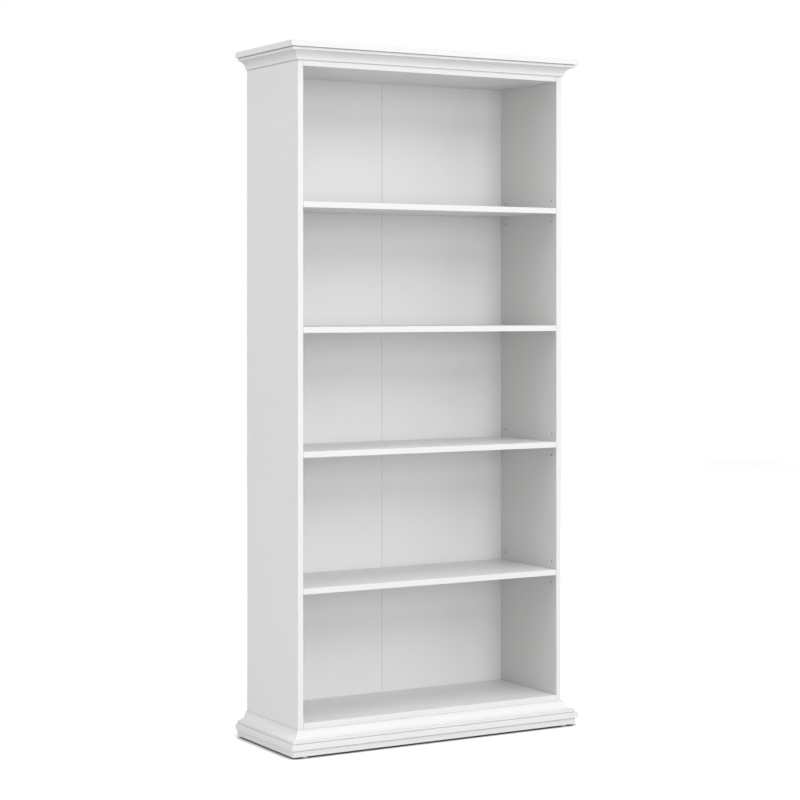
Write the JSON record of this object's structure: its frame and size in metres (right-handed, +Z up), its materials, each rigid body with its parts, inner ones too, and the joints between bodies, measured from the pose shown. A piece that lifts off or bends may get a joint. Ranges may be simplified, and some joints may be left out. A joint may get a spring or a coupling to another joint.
{
  "type": "bookcase with adjustable shelves",
  "caption": "Tall white free-standing bookcase with a stepped base, a coved cornice, a fixed shelf and loose shelves on pins in drilled rows.",
  "frame": {"origin": "on the floor, under the middle of the overall width and depth", "axes": "+Z up, -Y out of the open front, +X to the right seen from the front"},
  "size_m": [0.926, 0.348, 1.92],
  "materials": {
    "white_foil_board": "chipboard in satin white foil with a faint pore texture",
    "white_faced_hardboard": "thin hardboard, smooth white on the front and brown on the rear",
    "joint_tape": "matt tape over the joint at the rear",
    "steel_pin": "bright zinc-plated steel",
    "zinc_cam": "die-cast zinc, dull grey",
    "zinc_bolt": "zinc-plated steel",
    "white_plastic": "white moulded plastic"
  },
  "bodies": {
    "carcass": {"base_board": "white_foil_board", "plinth_front": "white_foil_board", "plinth_left": "white_foil_board", "plinth_right": "white_foil_board", "plinth_rear": "white_foil_board", "base_moulding_front": "white_foil_board", "base_moulding_left": "white_foil_board", "base_moulding_right": "white_foil_board", "base_rear_rail": "white_foil_board", "left_side_panel": "white_foil_board", "right_side_panel": "white_foil_board", "bottom_panel": "white_foil_board", "fixed_shelf": "white_foil_board", "top_panel": "white_foil_board", "cap_board": "white_foil_board", "cornice_front": "white_foil_board", "cornice_left": "white_foil_board", "cornice_right": "white_foil_board", "cornice_rear_rail": "white_foil_board", "back_panel_left": "white_faced_hardboard", "back_panel_right": "white_faced_hardboard", "back_joint_tape": "joint_tape", "cam_lower_left_front": "zinc_cam", "cam_upper_left_front": "zinc_cam", "cam_lower_left_rear": "zinc_cam", "cam_upper_left_rear": "zinc_cam", "cam_lower_right_front": "zinc_cam", "cam_upper_right_front": "zinc_cam", "cam_lower_right_rear": "zinc_cam", "cam_upper_right_rear": "zinc_cam", "cam_bolt_lower_left_front": "zinc_bolt", "cam_bolt_upper_left_front": "zinc_bolt", "cam_bolt_lower_left_rear": "zinc_bolt", "cam_bolt_upper_left_rear": "zinc_bolt", "cam_bolt_lower_right_front": "zinc_bolt", "cam_bolt_upper_right_front": "zinc_bolt", "cam_bolt_lower_right_rear": "zinc_bolt", "cam_bolt_upper_right_rear": "zinc_bolt", "glide_left_front": "white_plastic", "glide_left_rear": "white_plastic", "glide_right_front": "white_plastic", "glide_right_rear": "white_plastic"},
    "shelf_1": {"adjustable_shelf_1": "white_foil_board"},
    "shelf_2": {"adjustable_shelf_2": "white_foil_board"},
    "shelf_3": {"adjustable_shelf_3": "white_foil_board"},
    "pin_1_left_front": {"shelf_pin_1_left_front": "steel_pin"},
    "pin_1_left_rear": {"shelf_pin_1_left_rear": "steel_pin"},
    "pin_1_right_front": {"shelf_pin_1_right_front": "steel_pin"},
    "pin_1_right_rear": {"shelf_pin_1_right_rear": "steel_pin"},
    "pin_2_left_front": {"shelf_pin_2_left_front": "steel_pin"},
    "pin_2_left_rear": {"shelf_pin_2_left_rear": "steel_pin"},
    "pin_2_right_front": {"shelf_pin_2_right_front": "steel_pin"},
    "pin_2_right_rear": {"shelf_pin_2_right_rear": "steel_pin"},
    "pin_3_left_front": {"shelf_pin_3_left_front": "steel_pin"},
    "pin_3_left_rear": {"shelf_pin_3_left_rear": "steel_pin"},
    "pin_3_right_front": {"shelf_pin_3_right_front": "steel_pin"},
    "pin_3_right_rear": {"shelf_pin_3_right_rear": "steel_pin"}
  },
  "joints": [
    {"name": "shelf_1_lift", "type": "slide", "parent": "carcass", "child": "shelf_1", "axis": [0, 0, 1], "range_m": [0, 0.0305]},
    {"name": "shelf_2_lift", "type": "slide", "parent": "carcass", "child": "shelf_2", "axis": [0, 0, 1], "range_m": [0, 0.0305]},
    {"name": "shelf_3_lift", "type": "slide", "parent": "carcass", "child": "shelf_3", "axis": [0, 0, 1], "range_m": [0, 0.0305]},
    {"name": "pin_1_left_front_pull", "type": "slide", "parent": "carcass", "child": "pin_1_left_front", "axis": [1, 0, 0], "range_m": [0, 0.01]},
    {"name": "pin_1_left_rear_pull", "type": "slide", "parent": "carcass", "child": "pin_1_left_rear", "axis": [1, 0, 0], "range_m": [0, 0.01]},
    {"name": "pin_1_right_front_pull", "type": "slide", "parent": "carcass", "child": "pin_1_right_front", "axis": [-1, 0, 0], "range_m": [0, 0.01]},
    {"name": "pin_1_right_rear_pull", "type": "slide", "parent": "carcass", "child": "pin_1_right_rear", "axis": [-1, 0, 0], "range_m": [0, 0.01]},
    {"name": "pin_2_left_front_pull", "type": "slide", "parent": "carcass", "child": "pin_2_left_front", "axis": [1, 0, 0], "range_m": [0, 0.01]},
    {"name": "pin_2_left_rear_pull", "type": "slide", "parent": "carcass", "child": "pin_2_left_rear", "axis": [1, 0, 0], "range_m": [0, 0.01]},
    {"name": "pin_2_right_front_pull", "type": "slide", "parent": "carcass", "child": "pin_2_right_front", "axis": [-1, 0, 0], "range_m": [0, 0.01]},
    {"name": "pin_2_right_rear_pull", "type": "slide", "parent": "carcass", "child": "pin_2_right_rear", "axis": [-1, 0, 0], "range_m": [0, 0.01]},
    {"name": "pin_3_left_front_pull", "type": "slide", "parent": "carcass", "child": "pin_3_left_front", "axis": [1, 0, 0], "range_m": [0, 0.01]},
    {"name": "pin_3_left_rear_pull", "type": "slide", "parent": "carcass", "child": "pin_3_left_rear", "axis": [1, 0, 0], "range_m": [0, 0.01]},
    {"name": "pin_3_right_front_pull", "type": "slide", "parent": "carcass", "child": "pin_3_right_front", "axis": [-1, 0, 0], "range_m": [0, 0.01]},
    {"name": "pin_3_right_rear_pull", "type": "slide", "parent": "carcass", "child": "pin_3_right_rear", "axis": [-1, 0, 0], "range_m": [0, 0.01]}
  ]
}
